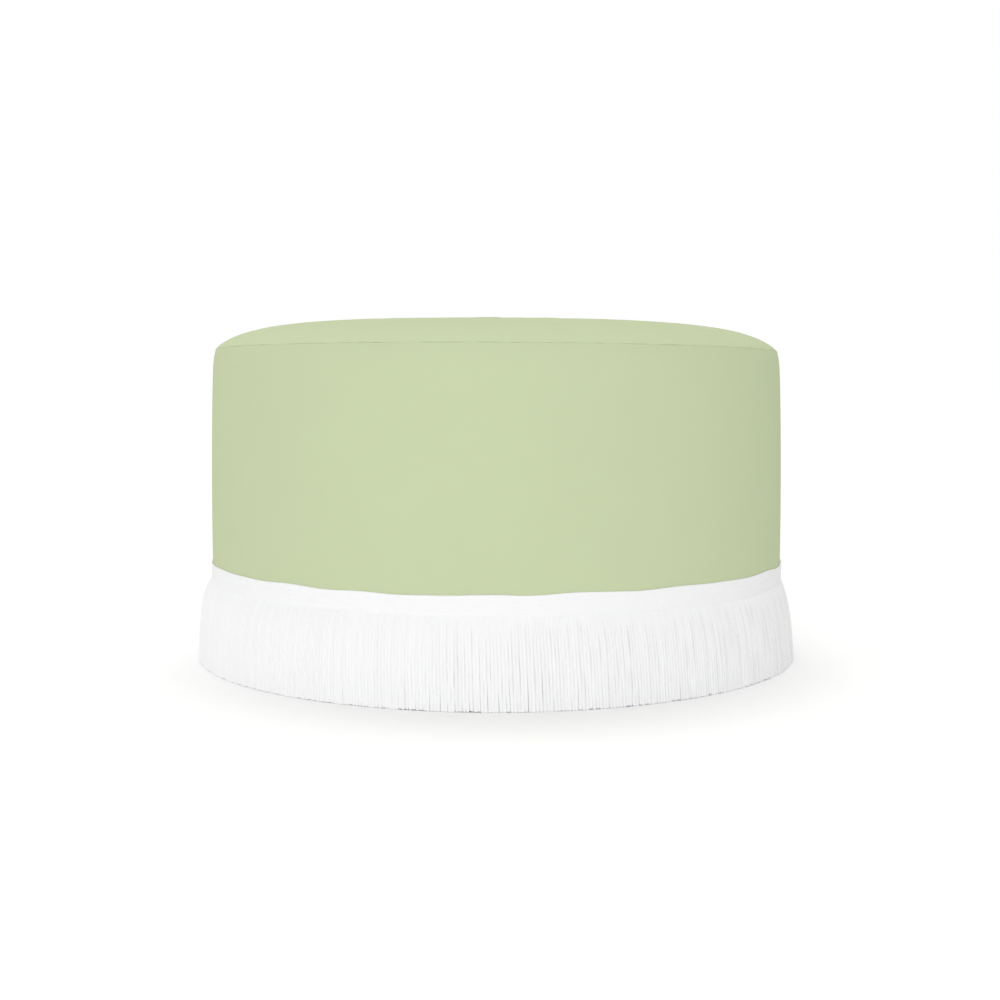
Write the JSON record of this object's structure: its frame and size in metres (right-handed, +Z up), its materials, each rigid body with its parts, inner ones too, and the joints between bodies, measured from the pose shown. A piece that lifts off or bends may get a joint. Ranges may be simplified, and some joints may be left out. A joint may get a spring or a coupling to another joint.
{
  "type": "tuffet",
  "caption": "Round upholstered tuffet: a crowned, padded drum covered in plain cloth, with a deep looped fringe hanging round its base.",
  "frame": {"origin": "on the floor at the centre of the drum, level with the undersides of the foot glides", "axes": "+Z up along the axis of the drum; the front that the picture shows faces -Y, with +X to its right"},
  "size_m": [0.7952, 0.7952, 0.44],
  "materials": {
    "cover_cloth": "matte",
    "fringe_yarn": "matte",
    "wadding": "matte",
    "foam": "matte",
    "hessian": "matte",
    "webbing": "matte",
    "plywood": "matte",
    "pine": "matte",
    "hardboard": "matte",
    "dust_cloth": "matte",
    "foot_wood": "satin",
    "nylon": "satin",
    "zinc_steel": "satin"
  },
  "bodies": {
    "root": {"top_cover": "cover_cloth", "side_cover": "cover_cloth", "fringe_heading": "fringe_yarn", "fringe_front": "fringe_yarn", "fringe_right": "fringe_yarn", "fringe_back": "fringe_yarn", "fringe_left": "fringe_yarn", "crown_wadding": "wadding", "side_wadding": "wadding", "seat_foam": "foam", "deck_cloth": "hessian", "strap_across_1": "webbing", "strap_across_2": "webbing", "strap_across_3": "webbing", "strap_across_4": "webbing", "strap_along_1": "webbing", "strap_along_2": "webbing", "strap_along_3": "webbing", "strap_along_4": "webbing", "top_ring": "plywood", "base_board": "plywood", "post_1": "pine", "post_2": "pine", "post_3": "pine", "post_4": "pine", "post_5": "pine", "post_6": "pine", "wall_panel_right": "hardboard", "wall_panel_left": "hardboard", "dust_cloth": "dust_cloth", "foot_1": "foot_wood", "foot_2": "foot_wood", "foot_3": "foot_wood", "foot_4": "foot_wood", "foot_glide_1": "nylon", "foot_glide_2": "nylon", "foot_glide_3": "nylon", "foot_glide_4": "nylon", "base_screw_1": "zinc_steel", "base_screw_2": "zinc_steel", "base_screw_3": "zinc_steel", "base_screw_4": "zinc_steel", "base_screw_5": "zinc_steel", "base_screw_6": "zinc_steel", "ring_screw_1": "zinc_steel", "ring_screw_2": "zinc_steel", "ring_screw_3": "zinc_steel", "ring_screw_4": "zinc_steel", "ring_screw_5": "zinc_steel", "ring_screw_6": "zinc_steel", "hanger_bolt_1": "zinc_steel", "hanger_bolt_2": "zinc_steel", "hanger_bolt_3": "zinc_steel", "hanger_bolt_4": "zinc_steel", "tee_nut_1": "zinc_steel", "tee_nut_2": "zinc_steel", "tee_nut_3": "zinc_steel", "tee_nut_4": "zinc_steel"}
  },
  "joints": []
}
